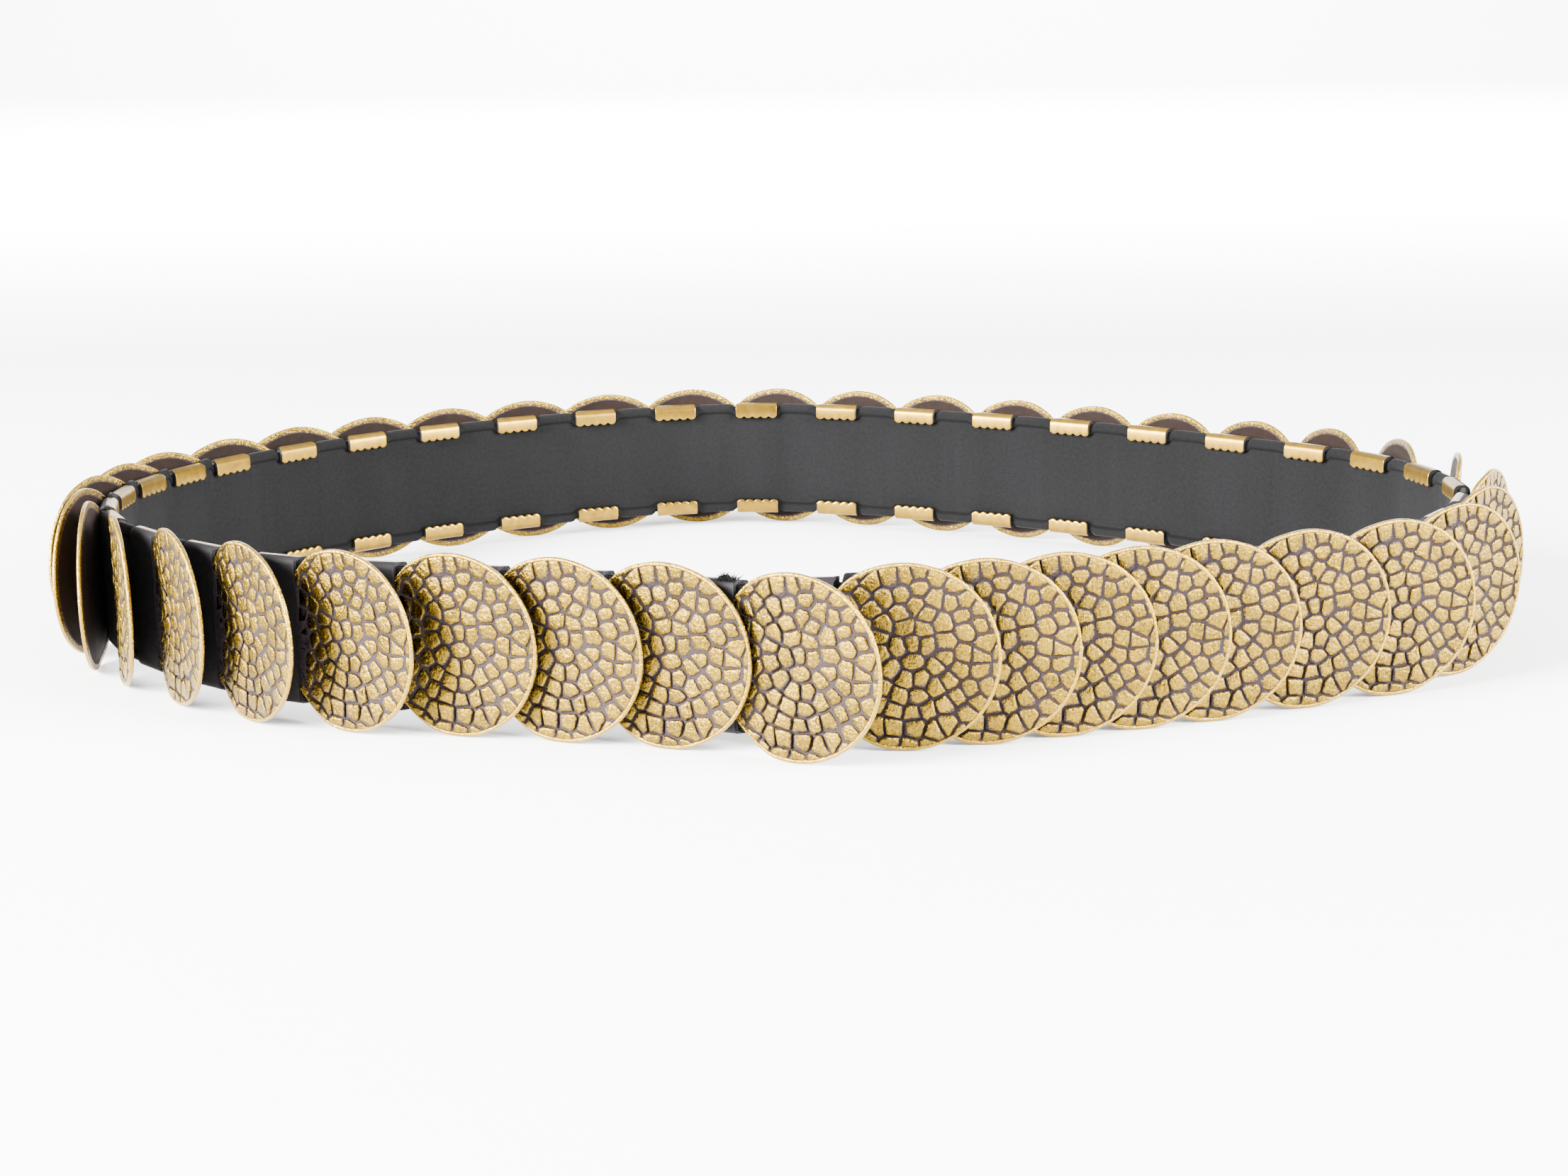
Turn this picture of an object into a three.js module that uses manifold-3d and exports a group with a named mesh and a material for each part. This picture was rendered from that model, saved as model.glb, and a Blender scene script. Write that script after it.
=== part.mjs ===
// Coin belt: overlapping round stamped plates, each crimped by a clip round a wide elastic band,
// standing on edge as a closed ring. Units are millimetres, +Z up, the floor at z = 0.
// Seen from above, the plates follow each other anticlockwise from the closure at the front.
import * as THREE from 'three';
import { mergeVertices } from 'three/addons/utils/BufferGeometryUtils.js';
import Module from 'manifold-3d';

const wasm = await Module();
wasm.setup();

// Driving dimensions
const PLATE_RADIUS = 20;
const PLATE_THICKNESS = 1.0;
const BAND_WIDTH = 30;
const BAND_SWELL = 1.5;
const BAND_THICKNESS = 1.5;
const CLIP_WIDTH = 12;
const UPPER_TAB = 4.2;
const LOWER_TAB = 4.0;
const PLATE_OFFSET = 19.2;
const FIT_GAP = 0.3;

// The bends of a plate: it leaves the clip at the neck's angle and eases to the free half's angle
const BEND = { neckAngle: 15.4, freeAngle: 8.5, creaseFrom: 14, creaseTo: 22 };
const PLATE_SIDES = 32;

// The band's course seen from above, through the middle of its thickness, from its right end
// at the closure, anticlockwise, to its left end
const COURSE = [
  { at: 'right end', x: -0.4, y: -118.1 },
  { at: 'front centre', x: 14.3, y: -116.9 },
  { at: 'front right', x: 37.5, y: -112.8 },
  { at: 'front right, outer', x: 93.6, y: -95.2 },
  { at: 'right, turning', x: 138.8, y: -70.9 },
  { at: 'right end of the oval', x: 163.4, y: -25.1 },
  { at: 'right, rear', x: 155.1, y: 17.1 },
  { at: 'rear right, outer', x: 122.4, y: 52.4 },
  { at: 'rear right', x: 60.4, y: 96.0 },
  { at: 'rear centre', x: -4.7, y: 120.6 },
  { at: 'rear left', x: -53.0, y: 110.9 },
  { at: 'rear left, outer', x: -114.0, y: 73.5 },
  { at: 'left, rear', x: -153.4, y: 23.3 },
  { at: 'left end of the oval', x: -162.2, y: -10.8 },
  { at: 'left, turning', x: -153.7, y: -44.0 },
  { at: 'front left, outer', x: -113.1, y: -85.7 },
  { at: 'front left', x: -60.9, y: -102.5 },
  { at: 'front left, inner', x: -37.4, y: -108.8 },
  { at: 'last plate', x: -20.8, y: -113.9 },
  { at: 'left end', x: -5.8, y: -120.6 },
];

// How far apart the clips sit along the band, stretch by stretch from the first plate on, and how
// much further out or in the plates of the stretch swing, in degrees
const FIRST_CLIP = 6.9;
const STRETCHES = [
  { stretch: 'front right, pushed together', clips: 4, spacing: 17.0, swing: 0 },
  { stretch: 'front right, outer', clips: 3, spacing: 23.4, swing: 0 },
  { stretch: 'right end of the oval', clips: 3, spacing: 21.1, swing: 0 },
  { stretch: 'right, rear', clips: 3, spacing: 21.0, swing: -1 },
  { stretch: 'rear', clips: 11, spacing: 24.3, swing: -4 },
  { stretch: 'rear left', clips: 3, spacing: 23.3, swing: 0 },
  { stretch: 'left end of the oval', clips: 5, spacing: 16.5, swing: -4 },
  { stretch: 'front left', clips: 6, spacing: 23.2, swing: 1 },
  { stretch: 'last plate', clips: 1, spacing: 29.8, swing: 0 },
];

// The last plate covers the closure, and its free half is bent nearly in line with the band
const LAST_FREE_ANGLE = 3;

// The closure behind the last plate: an eye on the band's right end and a hook on its left end,
// both on the inner face. Places are along the band and inwards from its middle, from a clip.
const CLOSURE = {
  sheet: 1.0,
  level: 1.55,
  eyeRoot: 4.5, eyeTip: -11.9, eyeHeight: 18, windowFrom: -9.4, windowTo: -6.2, windowHeight: 14,
  hookRoot: -5, hookBend: 5.6, hookHeight: 12, hookLevel: -0.1, hookTurn: -8.1, hookReturn: 3.4, hookTip: -11.2,
};

const MATERIALS = {
  brass: new THREE.MeshStandardMaterial({ color: 0xa98f58, metalness: 0.9, roughness: 0.42 }),
  elastic: new THREE.MeshStandardMaterial({ color: 0x232326, metalness: 0.0, roughness: 0.95 }),
  hardware: new THREE.MeshStandardMaterial({ color: 0xb09a66, metalness: 0.9, roughness: 0.35 }),
};

const radians = THREE.MathUtils.degToRad;
const MIDDLE_Z = PLATE_RADIUS;

// A closed mesh as a solid that can be joined or cut, and back
function toSolid(geometry) {
  const bare = geometry.clone();
  bare.deleteAttribute('normal');
  bare.deleteAttribute('uv');
  const merged = mergeVertices(bare, 1e-5);
  const mesh = new wasm.Mesh({
    numProp: 3,
    vertProperties: new Float32Array(merged.attributes.position.array),
    triVerts: new Uint32Array(merged.index.array),
  });
  return new wasm.Manifold(mesh);
}

function toGeometry(solid) {
  const mesh = solid.getMesh();
  const geometry = new THREE.BufferGeometry();
  geometry.setAttribute('position', new THREE.BufferAttribute(new Float32Array(mesh.vertProperties), 3));
  geometry.setIndex(new THREE.BufferAttribute(new Uint32Array(mesh.triVerts), 1));
  geometry.computeVertexNormals();
  return geometry;
}

// A closed solid through a row of sections, each a ring of points in the same order
function loft(sections) {
  const size = sections[0].length;
  const positions = sections.flat().flatMap((p) => [p.x, p.y, p.z]);
  const faces = [];
  for (let row = 0; row < sections.length - 1; row += 1) {
    for (let i = 0; i < size; i += 1) {
      const next = (i + 1) % size;
      const a = row * size + i;
      const b = row * size + next;
      const c = a + size;
      const d = b + size;
      faces.push(a, b, c, b, d, c);
    }
  }
  const last = (sections.length - 1) * size;
  for (const [a, b, c] of capTriangles(sections[0])) {
    faces.push(a, c, b);
    faces.push(last + a, last + b, last + c);
  }
  const geometry = new THREE.BufferGeometry();
  geometry.setAttribute('position', new THREE.BufferAttribute(new Float32Array(positions), 3));
  geometry.setIndex(faces);
  return geometry;
}

// The triangles that close an upright section, turned the way its ring runs
function capTriangles(section) {
  const origin = section[0];
  const far = section.reduce((best, p) => (
    Math.hypot(p.x - origin.x, p.y - origin.y) > Math.hypot(best.x - origin.x, best.y - origin.y) ? p : best));
  const across = new THREE.Vector2(far.x - origin.x, far.y - origin.y).normalize();
  const flat = section.map((p) => new THREE.Vector2(
    (p.x - origin.x) * across.x + (p.y - origin.y) * across.y, p.z));
  const turn = Math.sign(THREE.ShapeUtils.area(flat));
  return THREE.ShapeUtils.triangulateShape(flat, []).map(([a, b, c]) => (
    Math.sign(THREE.ShapeUtils.area([flat[a], flat[b], flat[c]])) === turn ? [a, b, c] : [a, c, b]));
}

// A plate of the belt in its clip's own frame: x along the band, -y outwards, z up from the floor.

// The clip's section: up the outside of the band, over both of its edges and down the inside
function clipProfile() {
  const inner = BAND_THICKNESS / 2 + FIT_GAP;
  const outer = inner + PLATE_THICKNESS;
  const innerTop = BAND_WIDTH / 2 + FIT_GAP;
  const outerTop = innerTop + PLATE_THICKNESS;
  const bend = PLATE_THICKNESS + FIT_GAP;
  const eased = bend * (1 - Math.SQRT1_2);
  const profile = new THREE.Shape();
  profile.moveTo(inner, -innerTop);
  profile.lineTo(inner, innerTop);
  profile.lineTo(-inner, innerTop);
  profile.lineTo(-inner, outerTop - UPPER_TAB);
  profile.lineTo(-outer, outerTop - UPPER_TAB);
  profile.lineTo(-outer, outerTop - bend);
  profile.lineTo(-outer + eased, outerTop - eased);
  profile.lineTo(-outer + bend, outerTop);
  profile.lineTo(outer - bend, outerTop);
  profile.lineTo(outer - eased, outerTop - eased);
  profile.lineTo(outer, outerTop - bend);
  profile.lineTo(outer, -outerTop + bend);
  profile.lineTo(outer - eased, -outerTop + eased);
  profile.lineTo(outer - bend, -outerTop);
  profile.lineTo(-outer + bend, -outerTop);
  profile.lineTo(-outer + eased, -outerTop + eased);
  profile.lineTo(-outer, -outerTop + bend);
  profile.lineTo(-outer, -outerTop + LOWER_TAB);
  profile.lineTo(-inner, -outerTop + LOWER_TAB);
  profile.lineTo(-inner, -innerTop);
  return profile;
}

function clipSolid() {
  const geometry = new THREE.ExtrudeGeometry(clipProfile(), { depth: CLIP_WIDTH, bevelEnabled: false });
  // the profile is drawn across and up, and run out along the band
  const basis = new THREE.Matrix4().makeBasis(
    new THREE.Vector3(0, -1, 0), new THREE.Vector3(0, 0, 1), new THREE.Vector3(-1, 0, 0));
  geometry.applyMatrix4(basis);
  geometry.translate(CLIP_WIDTH / 2, 0, MIDDLE_Z);
  return toSolid(geometry);
}

// The plate's heading away from the band, in degrees, at a distance along the plate
function plateHeading(along, { neckAngle, freeAngle }) {
  if (along <= CLIP_WIDTH / 2) return 0;
  const ease = THREE.MathUtils.smoothstep(along, BEND.creaseFrom, BEND.creaseTo);
  return THREE.MathUtils.lerp(neckAngle, freeAngle, ease);
}

function plateSolid(bend) {
  const step = (2 * Math.PI) / PLATE_SIDES;
  const cornerRadius = PLATE_RADIUS / Math.cos(step / 2);
  const root = CLIP_WIDTH / 2;
  const columns = [{ along: root - 1, half: PLATE_RADIUS * 0.75 }, { along: root, half: PLATE_RADIUS * 0.77 }];
  for (let side = 0; side < PLATE_SIDES / 2; side += 1) {
    const turn = (side + 0.5) * step;
    const along = PLATE_OFFSET - cornerRadius * Math.cos(turn);
    if (along > root + 1) columns.push({ along, half: cornerRadius * Math.sin(turn) });
  }
  const middle = BAND_THICKNESS / 2 + FIT_GAP + PLATE_THICKNESS / 2;
  const place = new THREE.Vector2(columns[0].along, middle);
  const sections = columns.map((column, i) => {
    const before = plateHeading(column.along - 0.01, bend);
    const after = plateHeading(column.along + 0.01, bend);
    if (i > 0) {
      const run = column.along - columns[i - 1].along;
      const heading = radians(plateHeading((column.along + columns[i - 1].along) / 2, bend));
      place.add(new THREE.Vector2(Math.cos(heading), Math.sin(heading)).multiplyScalar(run));
    }
    const facing = radians((before + after) / 2);
    const across = new THREE.Vector2(-Math.sin(facing), Math.cos(facing)).multiplyScalar(PLATE_THICKNESS / 2);
    const corner = (side, up) => new THREE.Vector3(
      place.x + side * across.x, -place.y - side * across.y, MIDDLE_Z + up * column.half);
    return [corner(-1, -1), corner(-1, 1), corner(1, 1), corner(1, -1)];
  });
  return toSolid(loft(sections));
}

function plateWithClip(bend) {
  return toGeometry(clipSolid().add(plateSolid(bend)));
}

// Places along the course
const course = new THREE.CatmullRomCurve3(
  COURSE.map((row) => new THREE.Vector3(row.x, row.y, 0)), false, 'centripetal');
course.arcLengthDivisions = 2000;
const COURSE_LENGTH = course.getLength();

function clipDistances() {
  const distances = [FIRST_CLIP];
  for (const { clips, spacing } of STRETCHES) {
    for (let i = 0; i < clips; i += 1) distances.push(distances[distances.length - 1] + spacing);
  }
  return distances;
}

// The frame at a distance along the course: a point, the way along and the way out
function frameAt(distance) {
  const point = course.getPointAt(distance / COURSE_LENGTH);
  const along = course.getTangentAt(distance / COURSE_LENGTH);
  return { point, along, outward: new THREE.Vector3(along.y, -along.x, 0) };
}

// The elastic lies straight and drawn in at each clip, and curves and swells from one clip to the next
function bandStations(clipFrames) {
  const reach = CLIP_WIDTH / 2 + FIT_GAP;
  const swellRun = 1;
  const drawnIn = BAND_WIDTH / 2;
  const swollen = drawnIn + BAND_SWELL;
  const endRun = (distance) => Math.min(1, (distance - reach) / swellRun);
  const distances = clipDistances();
  const first = frameAt(0);
  const last = frameAt(COURSE_LENGTH);
  const lastRun = COURSE_LENGTH - distances[distances.length - 1];
  const stations = [{ ...first, half: drawnIn + BAND_SWELL * endRun(distances[0]) }];
  clipFrames.forEach(({ point, along }, i) => {
    const leaving = point.clone().addScaledVector(along, reach);
    stations.push({ point: point.clone().addScaledVector(along, -reach), along, half: drawnIn });
    stations.push({ point: leaving, along, half: drawnIn });
    const next = clipFrames[i + 1];
    if (!next) return;
    const meeting = next.point.clone().addScaledVector(next.along, -reach);
    const run = leaving.distanceTo(meeting);
    const bow = new THREE.CubicBezierCurve3(
      leaving, leaving.clone().addScaledVector(along, run / 3),
      meeting.clone().addScaledVector(next.along, -run / 3), meeting);
    for (const t of [swellRun / run, 0.5, 1 - swellRun / run]) {
      stations.push({ point: bow.getPoint(t), along: bow.getTangent(t), half: swollen });
    }
  });
  stations.push({ ...last, half: drawnIn + BAND_SWELL * endRun(lastRun) });
  return stations;
}

// The band's section has eased long edges
function bandGeometry(clipFrames) {
  const thick = BAND_THICKNESS / 2;
  const ease = 0.5;
  const outline = (half) => [
    [-thick, half - ease], [-thick + ease, half], [thick - ease, half], [thick, half - ease],
    [thick, -half + ease], [thick - ease, -half], [-thick + ease, -half], [-thick, -half + ease],
  ];
  const sections = bandStations(clipFrames).map(({ point, along, half }) => outline(half).map(([out, up]) =>
    new THREE.Vector3(point.x + along.y * out, point.y - along.x * out, MIDDLE_Z + up)));
  return loft(sections);
}

// A strip of sheet standing on edge, its plan drawn as a line through the middle of the sheet
function stripSolid(path, height) {
  const half = CLOSURE.sheet / 2;
  const side = (sign) => path.map((point, i) => {
    const before = i > 0 ? point.clone().sub(path[i - 1]).normalize() : null;
    const after = i < path.length - 1 ? path[i + 1].clone().sub(point).normalize() : null;
    const way = (before ?? after).clone().add(after ?? before).normalize();
    const across = new THREE.Vector2(-way.y, way.x);
    const reach = half / way.dot(before ?? after);
    return point.clone().addScaledVector(across, sign * reach);
  });
  const plan = new THREE.Shape([...side(1), ...side(-1).reverse()]);
  const geometry = new THREE.ExtrudeGeometry(plan, { depth: height, bevelEnabled: false });
  geometry.translate(0, 0, MIDDLE_Z - height / 2);
  return toSolid(geometry);
}

// A place seen from above, along the band and inwards from a clip's middle
function placeFrom({ point, along, outward }, alongBand, inwards) {
  const place = point.clone().addScaledVector(along, alongBand).addScaledVector(outward, -inwards);
  return new THREE.Vector2(place.x, place.y);
}

function eyeGeometry(firstFrame) {
  const { level, eyeRoot, eyeTip, eyeHeight, windowFrom, windowTo, windowHeight } = CLOSURE;
  const plate = stripSolid([placeFrom(firstFrame, eyeTip, level), placeFrom(firstFrame, eyeRoot, level)], eyeHeight);
  const window = new THREE.BoxGeometry(windowTo - windowFrom, 4, windowHeight);
  const middle = placeFrom(firstFrame, (windowFrom + windowTo) / 2, level);
  window.rotateZ(Math.atan2(firstFrame.along.y, firstFrame.along.x));
  window.translate(middle.x, middle.y, MIDDLE_Z);
  return toGeometry(plate.subtract(toSolid(window)));
}

// The hook runs outside the eye's end bar, turns in through the window and comes back round the bar
function hookGeometry(firstFrame, lastFrame) {
  const { level, hookRoot, hookBend, hookHeight, hookLevel, hookTurn, hookReturn, hookTip } = CLOSURE;
  const path = [
    placeFrom(lastFrame, hookRoot, level),
    placeFrom(lastFrame, hookBend, level),
    placeFrom(firstFrame, hookTurn, hookLevel),
    placeFrom(firstFrame, hookTurn, hookReturn),
    placeFrom(firstFrame, hookTip, hookReturn),
  ];
  return toGeometry(stripSolid(path, hookHeight));
}

const belt = new THREE.Group();

function addMesh(name, geometry, material) {
  const mesh = new THREE.Mesh(geometry, material);
  mesh.name = name;
  belt.add(mesh);
  return mesh;
}

function placeOn(mesh, { point, along, outward }) {
  const up = new THREE.Vector3(0, 0, 1);
  mesh.position.copy(point);
  mesh.quaternion.setFromRotationMatrix(new THREE.Matrix4().makeBasis(along, outward.clone().negate(), up));
}

const clipFrames = clipDistances().map(frameAt);
const firstFrame = clipFrames[0];
const lastFrame = clipFrames[clipFrames.length - 1];
const swings = [0, ...STRETCHES.flatMap(({ clips, swing }) => Array(clips).fill(swing))];

addMesh('elastic_band', bandGeometry(clipFrames), MATERIALS.elastic);
addMesh('closure_eye', eyeGeometry(firstFrame), MATERIALS.hardware);
addMesh('closure_hook', hookGeometry(firstFrame, lastFrame), MATERIALS.hardware);

clipFrames.forEach((frame, i) => {
  const freeAngle = frame === lastFrame ? LAST_FREE_ANGLE : BEND.freeAngle + swings[i];
  const geometry = plateWithClip({ neckAngle: BEND.neckAngle + swings[i], freeAngle });
  const mesh = addMesh(`plate_${String(i + 1).padStart(2, '0')}`, geometry, MATERIALS.brass);
  placeOn(mesh, frame);
});

// The origin is on the floor under the middle of the belt's box
const box = new THREE.Box3().setFromObject(belt, true);
const middle = box.getCenter(new THREE.Vector3());
belt.children.forEach((mesh) => mesh.position.sub(new THREE.Vector3(middle.x, middle.y, box.min.z)));

export default belt;
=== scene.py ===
"""A coin belt standing on edge: round stamped brass plates clipped on a wide black elastic band."""
import math
import random

import bmesh
import bpy
from mathutils import Matrix, Vector


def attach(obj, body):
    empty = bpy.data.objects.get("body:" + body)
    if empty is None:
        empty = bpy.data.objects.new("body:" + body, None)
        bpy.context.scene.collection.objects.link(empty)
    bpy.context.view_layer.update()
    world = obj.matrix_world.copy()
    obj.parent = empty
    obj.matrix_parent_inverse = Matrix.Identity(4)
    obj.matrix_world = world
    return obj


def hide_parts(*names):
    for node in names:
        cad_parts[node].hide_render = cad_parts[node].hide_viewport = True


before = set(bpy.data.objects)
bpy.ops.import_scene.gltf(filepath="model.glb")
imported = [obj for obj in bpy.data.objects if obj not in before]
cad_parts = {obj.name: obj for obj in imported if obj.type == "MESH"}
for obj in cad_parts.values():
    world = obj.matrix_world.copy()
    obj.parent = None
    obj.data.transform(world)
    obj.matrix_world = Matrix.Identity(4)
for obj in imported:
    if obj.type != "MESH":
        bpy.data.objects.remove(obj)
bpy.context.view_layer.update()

# Elastic band
# Black woven elastic, 30 mm wide where the clips draw it in and fuller between them, with a rolled
# selvedge along both edges. It lies straight in each clip and bows from one clip to the next.
MM = 0.001
band_level = 20.0
tab_end = 12.1
strip_out = 1.55
flush = 0.02 * MM
same_corner = 0.2 * MM


def clip_place(plate):
    """Where a plate's clip sits, read from its solid: the band's middle in it, the way along the
    band and the way out. The tabs lie as far inside that middle as the strip lies outside it."""
    points = [v.co for v in plate.data.vertices]
    tab = [p.xy for p in points if abs(p.z - (band_level + tab_end) * MM) < flush]
    foot = [p.xy for p in points if p.z < flush]
    middle = sum(tab, Vector((0, 0))) / len(tab)
    corner = max(tab, key=lambda p: (p - middle).length)
    others = [p for p in tab if (p - corner).length > same_corner]
    edge = (min(others, key=lambda p: (p - corner).length) - corner).normalized()
    along = Vector((edge.y, -edge.x))
    if along.dot(sum(foot, Vector((0, 0))) / len(foot) - middle) < 0:
        along = -along
    outward = Vector((along.y, -along.x))
    return middle + outward * strip_out * MM, along, outward


plate_nodes = [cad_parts[name] for name in sorted(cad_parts) if name.startswith("plate_")]
clips = [clip_place(plate) for plate in plate_nodes]

clip_reach = 6.3 * MM
right_end_out = 0.6 * MM
right_end_swell = 0.6
left_end_out = 1.1 * MM
close_run = 8.0
close_swell = 0.9
long_row = 1.1
short_row = 0.4


def band_course():
    """The band's middle line from above, as rows: a point, the way along, and how many millimetres
    each edge swells there. Where two clips stand close, the elastic bulges more between them, and
    the rows stand closer."""
    first, last = clips[0], clips[-1]
    rows = []
    for step in range(3):
        left = 1 - step / 3
        start = first[0] - first[1] * (clip_reach + right_end_out * left)
        rows.append((start, first[1], right_end_swell * left))
    for i, (middle, along, _) in enumerate(clips):
        for step in range(5):
            rows.append((middle + along * clip_reach * (step / 2 - 1), along, 0.0))
        if i + 1 == len(clips):
            break
        next_middle, next_along, _ = clips[i + 1]
        start = middle + along * clip_reach
        finish = next_middle - next_along * clip_reach
        run = (finish - start).length
        leaving = start + along * run / 3
        arriving = finish - next_along * run / 3
        fullness = 1.0 + close_swell * min(1.0, max(0.0, (close_run - run / MM) / 3.0))
        row_length = long_row if fullness < 1.1 else short_row
        rise = 2.1 - 0.8 * fullness
        steps = max(6, round(run / row_length / MM))
        for step in range(1, steps):
            t = step / steps
            s = 1 - t
            point = start * s ** 3 + leaving * 3 * s * s * t + arriving * 3 * s * t * t + finish * t ** 3
            way = (leaving - start) * s * s + (arriving - leaving) * 2 * s * t + (finish - arriving) * t * t
            from_clip = min(t, s) * run / MM
            rows.append((point, way.normalized(), fullness * min(1.0, from_clip / rise) ** 0.6))
    for step in range(1, 4):
        finish = last[0] + last[1] * (clip_reach + left_end_out * step / 3)
        rows.append((finish, last[1], step / 3))
    return rows


def band_section(bm):
    """The band's section, mirrored from a few points up and out in millimetres: the flat body, the
    groove beside the selvedge and the selvedge's roll."""
    half = [(0.0, 0.62), (6.0, 0.62), (11.9, 0.60), (12.25, 0.52), (12.45, 0.30), (12.65, 0.52),
            (13.2, 0.80), (13.9, 0.88), (14.6, 0.74), (15.05, 0.30)]
    upper = half + [(up, -out) for up, out in reversed(half)]
    lower = [(-up, out) for up, out in reversed(upper) if up > 0]
    ring = [bm.verts.new((0.0, out * MM, up * MM)) for up, out in upper + lower]
    return [bm.edges.new((ring[i], ring[(i + 1) % len(ring)])) for i in range(len(ring))]


def grow(bm, ring):
    """Extrudes a ring of edges and gives the new vertices and the new ring, still to be moved."""
    grown = bmesh.ops.extrude_edge_only(bm, edges=ring)["geom"]
    made = {g for g in grown if isinstance(g, bmesh.types.BMVert)}
    return made, [g for g in grown if isinstance(g, bmesh.types.BMEdge) and made.issuperset(g.verts)]


def show(name, bm, *materials):
    """Puts a finished bmesh into the scene as a piece with its materials."""
    piece = bpy.data.objects.new(name, bpy.data.meshes.new(name))
    bm.to_mesh(piece.data)
    bm.free()
    for material in materials:
        piece.data.materials.append(material)
    bpy.context.scene.collection.objects.link(piece)
    return piece


band_rows = band_course()
run_to = [0.0]
for before, after in zip(band_rows, band_rows[1:]):
    run_to.append(run_to[-1] + (after[0] - before[0]).length)

band = bmesh.new()
row_of = band.verts.layers.int.new("row")
ring = band_section(band)
bmesh.ops.edgenet_fill(band, edges=ring)
for number in range(1, len(band_rows)):
    made, ring = grow(band, ring)
    for v in made:
        v[row_of] = number
bmesh.ops.edgenet_fill(band, edges=ring)
weave = band.loops.layers.uv.new("weave")
for face in band.faces:
    face.smooth = True
    for loop in face.loops:
        loop[weave].uv = (run_to[loop.vert[row_of]], loop.vert.co.z)

seam_from, seam_to = 12.2, 12.7
flat_half = 12.0
ripple_depth = 0.14
ripple_fades = 18.0
chance = random.Random(11)
ripples = [chance.uniform(-ripple_depth, ripple_depth) * MM for _ in band_rows]
seam = band.verts.layers.float.new("seam")
for v in band.verts:
    height = abs(v.co.z) / MM
    v[seam] = 1.0 if seam_from < height < seam_to else 0.0
    point, along, swell = band_rows[v[row_of]]
    up = v.co.z + math.copysign(MM * swell, v.co.z) * min(1.0, height / flat_half)
    out = v.co.y
    if 0.9 < swell < 1.1:
        out += ripples[v[row_of] // 2] * (1 - abs(up) / (ripple_fades * MM))
    outward = Vector((along.y, -along.x))
    v.co = (point + outward * out).to_3d() + Vector((0, 0, band_level * MM + up))
bmesh.ops.recalc_face_normals(band, faces=band.faces)


def colour(hex_value):
    """An sRGB hex colour as linear light."""
    parts = [int(hex_value[i:i + 2], 16) / 255 for i in (1, 3, 5)]
    return [c / 12.92 if c <= 0.04045 else ((c + 0.055) / 1.055) ** 2.4 for c in parts] + [1.0]


def add(tree, kind, settings=(), links=()):
    """Adds a node, sets its values and sockets, and links other nodes' outputs into it."""
    made = tree.nodes.new(kind)
    for key, value in dict(settings).items():
        if isinstance(key, str) and hasattr(made, key):
            setattr(made, key, value)
        else:
            made.inputs[key].default_value = value
    for socket, source in dict(links).items():
        tree.links.new(source, made.inputs[socket])
    return made


def new_material(name):
    """A material by its name, with its node tree and its shader."""
    material = bpy.data.materials.new(name)
    material.use_nodes = True
    return material, material.node_tree, material.node_tree.nodes["Principled BSDF"]


# Woven polyester elastic: matt charcoal with a fine grain, softly lighter and darker along its length,
# and a black line where the rolled selvedge meets the flat. Its threads stand about 0.5 mm apart; the
# grain is drawn coarser, at 0.8 mm.
woven_elastic, tree, shader = new_material("woven_elastic")
weave_map = add(tree, "ShaderNodeUVMap", {"uv_map": "weave"})
seam_line = add(tree, "ShaderNodeAttribute", {"attribute_name": "seam"})
threads_map = add(tree, "ShaderNodeMapping", {"Scale": (1 / (0.8 * MM), 1 / (0.9 * MM), 1)},
                  {"Vector": weave_map.outputs["UV"]})
threads = add(tree, "ShaderNodeTexNoise", {"Scale": 1.0, "Detail": 3.0, "Roughness": 0.6},
              {"Vector": threads_map.outputs["Vector"]})
bands_map = add(tree, "ShaderNodeMapping", {"Scale": (1 / (16 * MM), 1 / (60 * MM), 1)},
                {"Vector": weave_map.outputs["UV"]})
bands = add(tree, "ShaderNodeTexNoise", {"Scale": 1.0, "Detail": 2.0},
            {"Vector": bands_map.outputs["Vector"]})
woven = add(tree, "ShaderNodeMath", {"operation": "MULTIPLY_ADD", 1: 0.45},
            {0: bands.outputs["Fac"], 2: threads.outputs["Fac"]})
woven_range = add(tree, "ShaderNodeMapRange", {"From Min": 0.45, "From Max": 1.0},
                  {"Value": woven.outputs[0]})
charcoal = add(tree, "ShaderNodeMix", {"data_type": "RGBA", 6: colour("#050505"), 7: colour("#0c0c0d")},
               {0: woven_range.outputs[0]})
lined = add(tree, "ShaderNodeMix", {"data_type": "RGBA", 7: colour("#020202")},
            {0: seam_line.outputs["Fac"], 6: charcoal.outputs[2]})
tree.links.new(lined.outputs[2], shader.inputs["Base Color"])
grain = add(tree, "ShaderNodeBump", {"Strength": 0.5, "Distance": 0.12 * MM},
            {"Height": threads.outputs["Fac"]})
tree.links.new(grain.outputs["Normal"], shader.inputs["Normal"])
shader.inputs["Roughness"].default_value = 0.95
shader.inputs["Specular IOR Level"].default_value = 0.10
shader.inputs["Sheen Weight"].default_value = 0.02
shader.inputs["Sheen Roughness"].default_value = 0.5
elastic = show("elastic_band_woven", band, woven_elastic)
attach(elastic, "root")
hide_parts("elastic_band")

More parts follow.
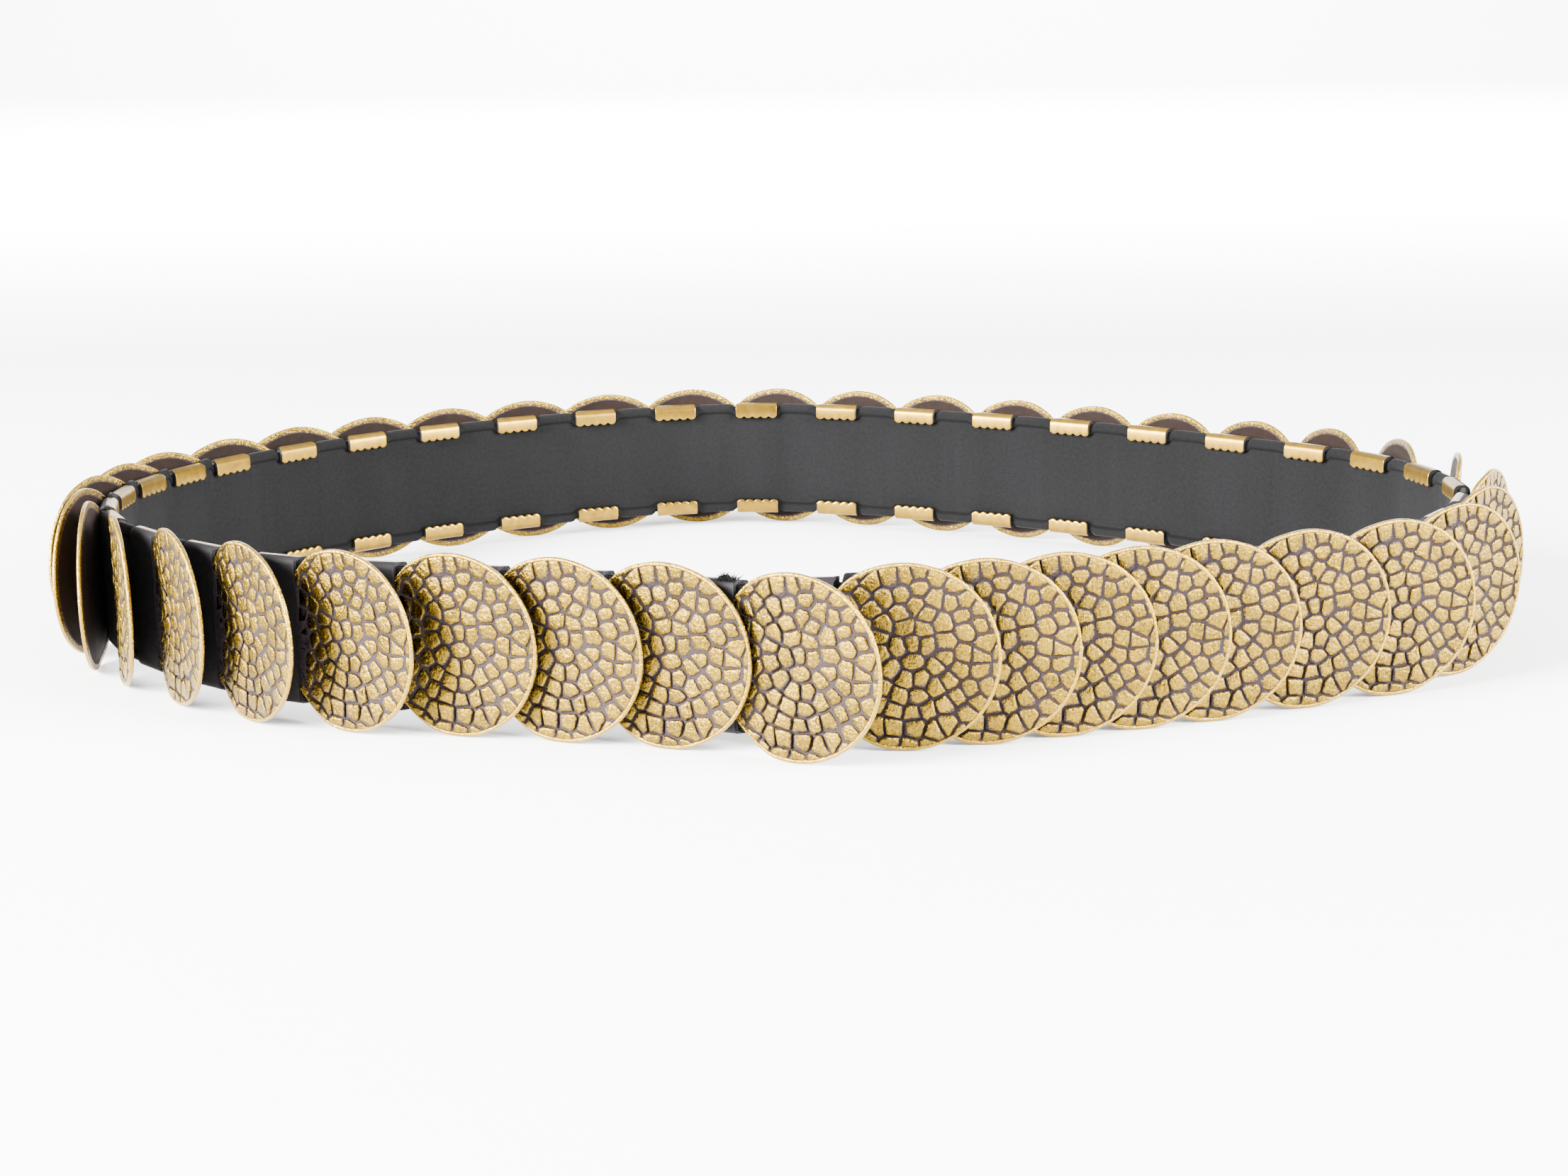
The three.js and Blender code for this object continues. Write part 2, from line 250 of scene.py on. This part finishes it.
# Frayed end
# The band's left end is cut raw behind the last plate, and its loose black polyester threads stand
# up over the last clip, held by the weave below.
loose_threads = 170
most_lean = 1.1
fray = bmesh.new()
chance = random.Random(3)
middle, along, outward = clips[-1]
for _ in range(loose_threads):
    length = chance.uniform(0.7, 1.9) * MM
    lean = (Matrix.Rotation(chance.uniform(-most_lean, most_lean), 4, "X")
            @ Matrix.Rotation(chance.uniform(-most_lean, most_lean), 4, "Y"))
    foot = middle + along * chance.uniform(0.2, 4.6) * MM + outward * chance.uniform(-1.0, 1.7) * MM
    root = Matrix.Translation(foot.to_3d() + Vector((0, 0, chance.uniform(35.9, 36.5) * MM)))
    bmesh.ops.create_cone(fray, cap_ends=True, segments=3, radius1=0.09 * MM, radius2=0.03 * MM,
                          depth=length, matrix=root @ lean @ Matrix.Translation((0, 0, length / 2)))
frayed = show("frayed_threads", fray, woven_elastic)
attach(frayed, "root")

# Stamped plates
# Forty like discs of 1 mm brass, 40 mm across, stamped with one crackle of raised cells inside a
# plain rim and antiqued dark in the grooves. Each one's strip is folded over the band. The disc is
# made flat, in millimetres from its clip's middle, and then bent as its solid is.
plate_radius = 20.0
plate_from_clip = 19.2
clip_half = 6.0
neck = 4.3
disc_middle = Vector((plate_from_clip, 0.0))
die_middle = Vector((plate_from_clip + 1.4, 3.0))
ring_step = 3.7
cell_turn_play = 0.27
cell_reach_play = 0.85
small_cell_share = 0.12
least_apart = 2.05
cracked_radius = 19.3
groove_half = 0.20


def cell_middles():
    """Middles of the raised cells: uneven rings round the die's middle, and a few small cells."""
    chance = random.Random(23)
    middles = [die_middle.copy()]
    ring = 1
    while ring * ring_step < 2 * plate_radius:
        around = ring * ring_step
        count = max(5, round(2 * math.pi * around / chance.uniform(3.5, 4.6)))
        start = chance.uniform(0, 2 * math.pi)
        for k in range(count):
            play = chance.uniform(-cell_turn_play, cell_turn_play)
            turn = start + 2 * math.pi * (k + play) / count
            reach = around + chance.uniform(-cell_reach_play, cell_reach_play)
            middles.append(die_middle + Vector((math.cos(turn), math.sin(turn))) * reach)
            if chance.random() < small_cell_share:
                middles.append(middles[-1] + Vector((chance.uniform(-2, 2), chance.uniform(-2, 2))))
        ring += 1
    apart = []
    for m in middles:
        clear = all((m - o).length > least_apart for o in apart)
        if clear and (m - disc_middle).length < cracked_radius + 1.0:
            apart.append(m)
    return apart


least_area = 1.1
sharp_corner = math.radians(158)
corner_cut = 0.42
long_side = 1.3
side_play = 0.13
steps_up = ((0.10, 0.15), (0.16, 0.08), (0.50, 0.06))
least_shrink = 0.6
most_tilt = math.tan(math.radians(4.5))


def stamped_cell(middle, others, chance):
    """One raised cell, cut from a disc half way to its neighbours, then rounded and stepped up."""
    bm = bmesh.new()
    bmesh.ops.create_circle(bm, cap_ends=True, segments=90, radius=cracked_radius,
                            matrix=Matrix.Translation((plate_from_clip, 0, 0)))
    cuts = [((middle + o) / 2 - (o - middle).normalized() * groove_half, o - middle) for o in others]
    cuts.append((Vector((neck + 0.3, 0.0)), Vector((-1.0, 0.0))))
    for place, away in cuts:
        bmesh.ops.bisect_plane(bm, geom=bm.verts[:] + bm.edges[:] + bm.faces[:], dist=1e-5,
                               plane_co=place.to_3d(), plane_no=away.to_3d(), clear_outer=True)
    if not bm.faces or bm.faces[:][0].calc_area() < least_area:
        bm.free()
        return None
    bmesh.ops.remove_doubles(bm, verts=bm.verts, dist=0.15)
    if not bm.faces:
        bm.free()
        return None
    bm.faces.ensure_lookup_table()
    if bm.faces[0].normal.z < 0:
        bmesh.ops.reverse_faces(bm, faces=bm.faces)
    corners = []
    for v in bm.verts:
        ways = [(e.other_vert(v).co - v.co) for e in v.link_edges]
        if len(ways) == 2 and ways[0].angle(ways[1]) < sharp_corner:
            corners.append(v)
    bmesh.ops.bevel(bm, geom=corners, offset=corner_cut, offset_type="OFFSET", segments=1, profile=0.5,
                    affect="VERTICES", clamp_overlap=True, material=-1)
    bmesh.ops.bisect_edges(bm, edges=[e for e in bm.edges if e.calc_length() > long_side], cuts=1)
    for v in bm.verts:
        if (v.co.xy - disc_middle).length < cracked_radius - 0.2:
            v.co += Vector((chance.uniform(-1, 1), chance.uniform(-1, 1), 0)) * side_play
    bmesh.ops.remove_doubles(bm, verts=bm.verts, dist=0.04)
    top = bm.faces[:][0]
    heart = top.calc_center_median()
    half = math.sqrt(top.calc_area() / math.pi)
    for inset, rise in steps_up:
        grown = bmesh.ops.extrude_face_region(bm, geom=[top])["geom"]
        top = [g for g in grown if isinstance(g, bmesh.types.BMFace)][0]
        shrink = max(least_shrink, 1 - inset / half)
        bmesh.ops.scale(bm, verts=top.verts, vec=(shrink, shrink, 1), space=Matrix.Translation(-heart))
        bmesh.ops.translate(bm, verts=top.verts, vec=(0, 0, rise))
        half *= shrink
    under = [f for f in bm.faces if abs(f.calc_center_median().z) < 1e-4]
    bmesh.ops.delete(bm, geom=under, context="FACES_ONLY")
    lean = Vector((chance.uniform(-1, 1), chance.uniform(-1, 1))) * most_tilt
    sink = chance.uniform(-0.03, 0.02)
    for v in bm.verts:
        if v.co.z > 0.1:
            v.co.z += sink + lean.dot(v.co.xy - heart.xy)
    return bm


def ring_out(bm, edges, radius, level, rubbed_bright):
    """Carries a ring of edges on to a new radius and level; the disc's outside isn't quite round."""
    relief = bm.verts.layers.float["relief"]
    burnish = bm.verts.layers.float["burnish"]
    made, ring = grow(bm, edges)
    for v in made:
        spoke = (v.co.xy - disc_middle).normalized()
        turn = math.atan2(spoke.y, spoke.x)
        wavy = 0.07 * (1 + math.sin(5 * turn + 0.7)) + 0.04 * (1 + math.sin(11 * turn))
        reach = radius - (wavy if radius > cracked_radius else 0.0)
        v.co = (disc_middle + spoke * reach).to_3d() + Vector((0, 0, level))
        v[relief] = rubbed_bright
        v[burnish] = 1.0 if level > -0.5 and radius > 19.2 else 0.0
    return ring


# the body of the disc: floor of the grooves, plain rim, rolled edge and back, each ring with its
# radius, its level and how far it is rubbed bright, all cut off where the disc meets its strip
groove_floor = 19.0
rim_rings = ((19.10, 0.22, 0.75), (19.25, 0.29, 1.0), (19.55, 0.31, 1.0), (19.80, 0.24, 1.0),
             (19.96, 0.06, 1.0), (20.0, -0.2, 1.0), (19.97, -0.48, 0.85), (19.80, -0.66, 0.8),
             (19.50, -0.70, 0.75), (18.80, -0.70, 0.6), (18.2, -0.70, 0.0))
die = bmesh.new()
# the third layer carries the painted shadow of the plate before
for layer in ("relief", "burnish", "painted_shadow"):
    die.verts.layers.float.new(layer)
bmesh.ops.create_circle(die, cap_ends=True, segments=80, radius=groove_floor,
                        matrix=Matrix.Translation((plate_from_clip, 0, 0)))
die.faces.ensure_lookup_table()
if die.faces[0].normal.z < 0:
    bmesh.ops.reverse_faces(die, faces=die.faces)
ring = die.edges[:]
for radius, level, rubbed_bright in rim_rings:
    ring = ring_out(die, ring, radius, level, rubbed_bright)
bmesh.ops.edgenet_fill(die, edges=ring)
bmesh.ops.recalc_face_normals(die, faces=die.faces)
cut = bmesh.ops.bisect_plane(die, geom=die.verts[:] + die.edges[:] + die.faces[:], dist=1e-5,
                             plane_co=(neck, 0, 0), plane_no=(-1, 0, 0), clear_outer=True)
bmesh.ops.edgenet_fill(die, edges=[g for g in cut["geom_cut"] if isinstance(g, bmesh.types.BMEdge)])

middles = cell_middles()
chance = random.Random(5)
for middle in middles:
    near = sorted((m for m in middles if 0.01 < (m - middle).length < 12), key=lambda m: (m - middle).length)
    cell = stamped_cell(middle, near, chance)
    if cell:
        cell_mesh = bpy.data.meshes.new("cell")
        cell.to_mesh(cell_mesh)
        cell.free()
        die.from_mesh(cell_mesh)
        bpy.data.meshes.remove(cell_mesh)

# each vertex is told how high it stands, and how far it lies past the edge of the plate before, which
# lies 8.7 mm past the clip's middle; about and behind that edge the shadow of the plate before is
# painted in, darker and duller, and the cells there are pressed flatter
edge_before = Vector((8.7 - plate_radius, 0))
cell_height = 0.26
relief, burnish, painted_shadow = (die.verts.layers.float[layer] for layer in ("relief", "burnish", "painted_shadow"))
for v in die.verts:
    if (v.co.xy - disc_middle).length < 19.25 and v.co.z > 0.04:
        v[relief] = min(1.0, v.co.z / cell_height)
    if v.co.z > -0.1:
        past_edge = (v.co.xy - edge_before).length - plate_radius
        v[relief] *= min(1.0, max(0.3, 0.8 + past_edge / 3.0))
        v[painted_shadow] = min(1.0, max(0.0, 0.5 - past_edge / 2.0))
        v[burnish] *= 1.0 - v[painted_shadow]
        if v.co.z > 0.04:
            v.co.z *= 1.0 - 0.6 * v[painted_shadow]
stamped = bpy.data.meshes.new("stamped_disc")
die.to_mesh(stamped)
die.free()

solid_sides = 32
line_step = 0.25
line_steps = 140
crease_from = 13.0
crease_run = 3.0


def plate_bends(plate, place):
    """The plate's two angles to the band, at its neck and in its free half, measured on its solid
    between columns of the corners of its 32-sided disc."""
    middle, along, outward = place
    step = math.pi / solid_sides
    corner = plate_radius / math.cos(step)

    def column(sides, near):
        half = corner * math.sin((2 * sides + 1) * step)
        found = []
        for v in plate.data.vertices:
            flat = (v.co.xy - middle) / MM
            u, out = flat.dot(along), flat.dot(outward)
            if abs(abs(v.co.z / MM - band_level) - half) < 0.02 and (6.5 < u < 12 if near else u > 24):
                found.append(Vector((u, out)))
        return sum(found, Vector((0, 0))) / len(found)

    at_neck = column(5, True) - Vector((clip_half, strip_out))
    free = column(0, False) - column(4, False)
    return math.atan2(at_neck.y, at_neck.x), math.atan2(free.y, free.x)


def bent_line(at_neck, free):
    """Points of the plate's middle line and its heading, each quarter millimetre along it; the
    crease is sharp, so the neck stands a little steeper than on the solid and the rest flatter."""
    at_neck += math.radians(2.4)
    free -= math.radians(0.3)
    in_clip = round(2 * clip_half / line_step)
    line = [(Vector((k * line_step - clip_half, strip_out)), 0.0) for k in range(in_clip)]
    point = Vector((clip_half, strip_out))
    for k in range(line_steps):
        at = clip_half + k * line_step
        ease = min(1.0, max(0.0, (at - crease_from) / crease_run))
        heading = at_neck + (free - at_neck) * ease * ease * (3 - 2 * ease)
        line.append((point.copy(), heading))
        point = point + Vector((math.cos(heading), math.sin(heading))) * line_step
    return line


teeth = 5
tooth_depth = 0.75
tooth_lift = 0.16
tooth_root = 12.95
strip_columns = 40


def folded_clip():
    """The strip folded over both edges of the band, with five rounded teeth on each of its tabs.
    Its section is given as points out from the band's middle and up from the strip's middle."""
    bm = bmesh.new()
    outer = [(2.05, 7.5), (2.05, 14.7)]
    outer += [(0.45 + 1.6 * math.cos(a), 14.7 + 1.6 * math.sin(a)) for a in (0.4, 0.8, 1.2, 1.57)]
    outer += [(-0.45 + 1.6 * math.cos(a), 14.7 + 1.6 * math.sin(a)) for a in (1.57, 1.95, 2.35, 2.75, 3.14)]
    outer += [(-2.05, 13.4), (-2.05, 12.8), (-2.03, 12.25), (-1.85, 12.1)]
    inner = [(-1.25, 12.1), (-1.07, 12.25), (-1.05, 12.8), (-1.05, 14.7)]
    inner += [(-0.45 + 0.6 * math.cos(a), 14.7 + 0.6 * math.sin(a)) for a in (2.35, 1.57)]
    inner += [(0.45 + 0.6 * math.cos(a), 14.7 + 0.6 * math.sin(a)) for a in (1.57, 0.8)]
    inner += [(1.05, 14.7), (1.05, 7.5)]
    upper = outer + inner
    loop = [(2.05, 0.0)] + upper + [(1.05, 0.0)] + [(out, -up) for out, up in reversed(upper)]
    start = [bm.verts.new((-clip_half + 0.03, up, out)) for out, up in loop]
    ring = [bm.edges.new((start[i], start[(i + 1) % len(start)])) for i in range(len(start))]
    bmesh.ops.edgenet_fill(bm, edges=ring)
    for _ in range(strip_columns):
        made, ring = grow(bm, ring)
        bmesh.ops.translate(bm, verts=list(made), vec=((2 * clip_half + 0.15) / strip_columns, 0, 0))
    bmesh.ops.edgenet_fill(bm, edges=ring)
    bmesh.ops.recalc_face_normals(bm, faces=bm.faces)
    for v in bm.verts:
        if v.co.z < -1.0 and abs(v.co.y) < tooth_root:
            lobe = abs(math.sin(math.pi * teeth * (v.co.x + clip_half) / (2 * clip_half))) ** 0.55
            near_tip = min(1.0, (tooth_root - abs(v.co.y)) / 0.7)
            v.co.y += math.copysign(tooth_depth * (1 - lobe) * near_tip, v.co.y)
            v.co.z += tooth_lift * (1 - lobe) * near_tip
        reach = clip_half + (neck + 0.05 - clip_half) * min(1.0, max(0.0, (v.co.z + 1.0) / 1.4))
        v.co.x = min(v.co.x, reach)
    return bm


folded = folded_clip()
clip_mesh = bpy.data.meshes.new("folded_clip")
folded.to_mesh(clip_mesh)
folded.free()

# Brass, stamped, blackened and then rubbed back: the raised cells and the rim are satin olive
# gold and uneven like hammered foil, the grooves keep a dark brown patina with a beaded edge, and
# scratches cross the tops. The unevenness is drawn coarser than it is, at 0.8 mm, and the
# scratches at 0.1 mm.
rubbed_brass, tree, shader = new_material("antiqued_rubbed_brass")
raised_part = add(tree, "ShaderNodeAttribute", {"attribute_name": "relief"})
rim_part = add(tree, "ShaderNodeAttribute", {"attribute_name": "burnish"})
# painted shadow of the plate before, read from the disc's vertices
painted_shadow_part = add(tree, "ShaderNodeAttribute", {"attribute_name": "painted_shadow"})
die_map = add(tree, "ShaderNodeUVMap", {"uv_map": "die"})
place_map = add(tree, "ShaderNodeTexCoord")
beads = add(tree, "ShaderNodeTexVoronoi", {"Scale": 1 / (0.55 * MM), "Randomness": 0.5},
            {"Vector": die_map.outputs["UV"]})
grain = add(tree, "ShaderNodeTexNoise", {"Scale": 1 / (0.5 * MM), "Detail": 4.0},
            {"Vector": place_map.outputs["Object"]})
cloud = add(tree, "ShaderNodeTexNoise", {"Scale": 1 / (9 * MM), "Detail": 3.0},
            {"Vector": place_map.outputs["Object"]})
slant = add(tree, "ShaderNodeMapping",
            {"Rotation": (0, 0, 0.7), "Scale": (1 / (0.10 * MM), 1 / (3.2 * MM), 1)},
            {"Vector": die_map.outputs["UV"]})
scratch = add(tree, "ShaderNodeTexNoise", {"Scale": 1.0, "Detail": 2.0},
              {"Vector": slant.outputs["Vector"]})
beaded = add(tree, "ShaderNodeMath", {"operation": "MULTIPLY_ADD", 1: 0.9},
             {0: beads.outputs["Distance"], 2: raised_part.outputs["Fac"]})
worn = add(tree, "ShaderNodeMath", {"operation": "MULTIPLY_ADD", 1: 0.6},
           {0: grain.outputs["Fac"], 2: beaded.outputs[0]})
rubbed = add(tree, "ShaderNodeMapRange",
             {"interpolation_type": "SMOOTHSTEP", "From Min": 0.95, "From Max": 1.45},
             {"Value": worn.outputs[0]})
tone = add(tree, "ShaderNodeMath", {"operation": "MULTIPLY_ADD", 1: 0.5},
           {0: cloud.outputs["Fac"], 2: grain.outputs["Fac"]})
mottled = add(tree, "ShaderNodeMath", {"operation": "MULTIPLY_ADD", 1: 0.5},
              {0: scratch.outputs["Fac"], 2: tone.outputs[0]})
tone_range = add(tree, "ShaderNodeMapRange", {"From Min": 0.72, "From Max": 1.25},
                 {"Value": mottled.outputs[0]})
gold = add(tree, "ShaderNodeMix", {"data_type": "RGBA", 6: colour("#43350f"), 7: colour("#8a6e1c")},
           {0: tone_range.outputs[0]})
bright = add(tree, "ShaderNodeMix", {"data_type": "RGBA", 7: colour("#957726")},
             {0: rim_part.outputs["Fac"], 6: gold.outputs[2]})
patina = add(tree, "ShaderNodeMix", {"data_type": "RGBA", 6: colour("#241819")},
             {0: rubbed.outputs[0], 7: bright.outputs[2]})
# the shadow of the plate before is painted in here, mixing the brass towards near black
brass_colour = add(tree, "ShaderNodeMix", {"data_type": "RGBA", 7: colour("#150d12")},
                   {0: painted_shadow_part.outputs["Fac"], 6: patina.outputs[2]})
tree.links.new(brass_colour.outputs[2], shader.inputs["Base Color"])
rough = add(tree, "ShaderNodeMapRange", {"To Min": 0.8, "To Max": 0.26}, {"Value": rubbed.outputs[0]})
tree.links.new(rough.outputs[0], shader.inputs["Roughness"])
metal = add(tree, "ShaderNodeMapRange", {"To Min": 0.5, "To Max": 0.94}, {"Value": rubbed.outputs[0]})
tree.links.new(metal.outputs[0], shader.inputs["Metallic"])
hammer = add(tree, "ShaderNodeTexNoise", {"Scale": 1 / (0.8 * MM), "Detail": 4.0},
             {"Vector": place_map.outputs["Object"]})
surface = add(tree, "ShaderNodeMath", {"operation": "MULTIPLY_ADD", 1: 0.25},
              {0: scratch.outputs["Fac"], 2: hammer.outputs["Fac"]})
fine = add(tree, "ShaderNodeBump", {"Strength": 1.0, "Distance": 0.36 * MM}, {"Height": surface.outputs[0]})
tree.links.new(fine.outputs["Normal"], shader.inputs["Normal"])

# The back isn't rubbed: brown patina, dull and mottled.
brown_back, tree, shader = new_material("patinated_brass_back")
place_map = add(tree, "ShaderNodeTexCoord")
mottle = add(tree, "ShaderNodeTexNoise", {"Scale": 1 / (2 * MM), "Detail": 4.0},
             {"Vector": place_map.outputs["Object"]})
umber = add(tree, "ShaderNodeMix", {"data_type": "RGBA", 6: colour("#0b0604"), 7: colour("#1b100b")},
            {0: mottle.outputs["Fac"]})
tree.links.new(umber.outputs[2], shader.inputs["Base Color"])
shader.inputs["Metallic"].default_value = 0.1
shader.inputs["Roughness"].default_value = 0.75
shader.inputs["Specular IOR Level"].default_value = 0.1

# The outside of the strip, always under the plate before, is black with patina, and its colour is painted
# darker still for the shade under that plate.
blackened_shaded_strip, tree, shader = new_material("blackened_brass_strip_painted_shade")
shader.inputs["Base Color"].default_value = colour("#0a0709")
shader.inputs["Metallic"].default_value = 0.1
shader.inputs["Roughness"].default_value = 0.7
shader.inputs["Specular IOR Level"].default_value = 0.25

# The folds and tabs of the strip: the same brass, rubbed smooth, a pale tan gold with faint scuffs.
tab_brass, tree, shader = new_material("rubbed_brass_strip")
place_map = add(tree, "ShaderNodeTexCoord")
tan_cloud = add(tree, "ShaderNodeTexNoise", {"Scale": 1 / (2.5 * MM), "Detail": 3.0},
                {"Vector": place_map.outputs["Object"]})
tan = add(tree, "ShaderNodeMix", {"data_type": "RGBA", 6: colour("#5a4412"), 7: colour("#917223")},
          {0: tan_cloud.outputs["Fac"]})
tree.links.new(tan.outputs[2], shader.inputs["Base Color"])
shader.inputs["Metallic"].default_value = 0.95
shader.inputs["Roughness"].default_value = 0.36
scuffs = add(tree, "ShaderNodeBump", {"Strength": 0.3, "Distance": 0.05 * MM},
             {"Height": tan_cloud.outputs["Fac"]})
tree.links.new(scuffs.outputs["Normal"], shader.inputs["Normal"])

# the finishes of a plate, in the order of its materials
front, back, fold, strip = range(4)
back_radius = 18.3
fold_top = 16.35
floor_lift = 0.2

for plate, place in zip(plate_nodes, clips):
    middle, along, outward = place
    line = bent_line(*plate_bends(plate, place))
    bm = bmesh.new()
    bm.from_mesh(stamped)
    disc_faces = len(bm.faces)
    bm.from_mesh(clip_mesh)
    bm.faces.ensure_lookup_table()
    die_uv = bm.loops.layers.uv.new("die")
    clip_verts = {v for f in bm.faces[disc_faces:] for v in f.verts}
    for number, face in enumerate(bm.faces):
        face.smooth = True
        for loop in face.loops:
            loop[die_uv].uv = (loop.vert.co.x * MM, loop.vert.co.y * MM)
        if number >= disc_faces:
            outside = all(v.co.z > 0.4 and abs(v.co.y) < fold_top for v in face.verts)
            face.material_index = strip if outside or len(face.verts) > 4 else fold
            face.smooth = len(face.verts) == 4
        elif all(v.co.z < -0.69 and (v.co.xy - disc_middle).length < back_radius for v in face.verts):
            face.material_index = back
        else:
            face.material_index = front
    for v in bm.verts:
        if v in clip_verts:
            u, out = v.co.x, v.co.z
        else:
            at = min(len(line) - 1.001, max(0.0, (v.co.x + clip_half) / line_step))
            k = int(at)
            here, turn = line[k]
            beyond, next_turn = line[k + 1]
            heading = turn + (next_turn - turn) * (at - k)
            here = here.lerp(beyond, at - k)
            u = here.x - math.sin(heading) * (v.co.z + floor_lift)
            out = here.y + math.cos(heading) * (v.co.z + floor_lift)
        spot = middle + along * u * MM + outward * out * MM
        v.co = Vector((spot.x, spot.y, (band_level + v.co.y) * MM))
    piece = show(plate.name + "_stamped", bm, rubbed_brass, brown_back, tab_brass, blackened_shaded_strip)
    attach(piece, "root")
    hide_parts(plate.name)

# Hook and eye
# Brass strip behind the last plate: the hook on the band's left end is closed round the bar of the
# eye on its right end. Their edges are eased so that they don't catch the elastic.
eased_edge = 0.14 * MM
for name in ("closure_eye", "closure_hook"):
    bm = bmesh.new()
    bm.from_mesh(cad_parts[name].data)
    bmesh.ops.remove_doubles(bm, verts=bm.verts, dist=0.001 * MM)
    bmesh.ops.dissolve_limit(bm, angle_limit=math.radians(1), verts=bm.verts, edges=bm.edges)
    sharp = [e for e in bm.edges if len(e.link_faces) == 2 and e.calc_face_angle() > math.radians(60)]
    bmesh.ops.bevel(bm, geom=sharp, offset=eased_edge, segments=2, profile=0.5, affect="EDGES", material=-1)
    piece = show(name + "_eased", bm, tab_brass)
    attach(piece, "root")
    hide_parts(name)

# Floor and backdrop
# A plain sweep of matt white card: level under the belt, and curved up far behind it in twelve
# equal steps.
floor_half = 4.0
curve_steps = 12
curve_step = 0.26
bm = bmesh.new()
bmesh.ops.create_grid(bm, x_segments=1, y_segments=1, size=floor_half)
rear = [e for e in bm.edges if all(v.co.y > floor_half - 0.1 for v in e.verts)]
for turn in range(curve_steps):
    made, rear = grow(bm, rear)
    lean = math.radians(90 / curve_steps * (turn + 0.5))
    rise = (0, curve_step * math.cos(lean), curve_step * math.sin(lean))
    bmesh.ops.translate(bm, verts=list(made), vec=rise)
for face in bm.faces:
    face.smooth = True
white_card, tree, shader = new_material("matt_white_card")
shader.inputs["Base Color"].default_value = colour("#f6f6f7")
shader.inputs["Roughness"].default_value = 0.9
sweep = show("sweep", bm, white_card)

# Studio light
# A bright room all round, a large soft light high on the left, a weaker one on the right, one
# overhead and one that keeps the backdrop white.
world = bpy.data.worlds.new("studio")
bpy.context.scene.world = world
world.use_nodes = True
world.node_tree.nodes["Background"].inputs["Color"].default_value = colour("#fbfbff")
world.node_tree.nodes["Background"].inputs["Strength"].default_value = 0.7
for name, spot, aim, size, power in (("key", (-1.35, -0.8, 0.62), (0, 0, 0), 0.9, 460.0),
                                     ("fill", (1.4, -0.6, 0.55), (0, 0, 0), 0.9, 265.0),
                                     ("top", (0.1, 0.3, 1.9), (0, 0, 0), 2.4, 70.0),
                                     ("backdrop", (0, 1.6, 2.4), (0, 5.2, 0.8), 3.0, 2250.0)):
    lamp = bpy.data.objects.new(name, bpy.data.lights.new(name, "AREA"))
    lamp.data.size = size
    lamp.data.energy = power
    lamp.location = spot
    lamp.rotation_euler = (Vector(aim) - Vector(spot)).to_track_quat("-Z", "Y").to_euler()
    bpy.context.scene.collection.objects.link(lamp)

# Camera
# A long lens a little above the belt, looking slightly down at the closure, with the least tilt to
# one side; placed from the lay of the plates.
lens_px = 3700.0
image_width = 2212.0
sensor_width = 36.0
look_down = math.radians(12.661)
side_tilt = math.radians(-0.7083)
camera = bpy.data.objects.new("camera", bpy.data.cameras.new("camera"))
bpy.context.scene.collection.objects.link(camera)
camera.data.sensor_width = sensor_width
camera.data.lens = lens_px / image_width * sensor_width
camera.data.clip_end = 50.0
camera.location = Vector((-1.781, -640.467, 152.155)) * MM
looking = Matrix.Rotation(math.radians(90) - look_down, 4, "X")
camera.rotation_euler = (looking @ Matrix.Rotation(side_tilt, 4, "Z")).to_euler()
bpy.context.scene.camera = camera
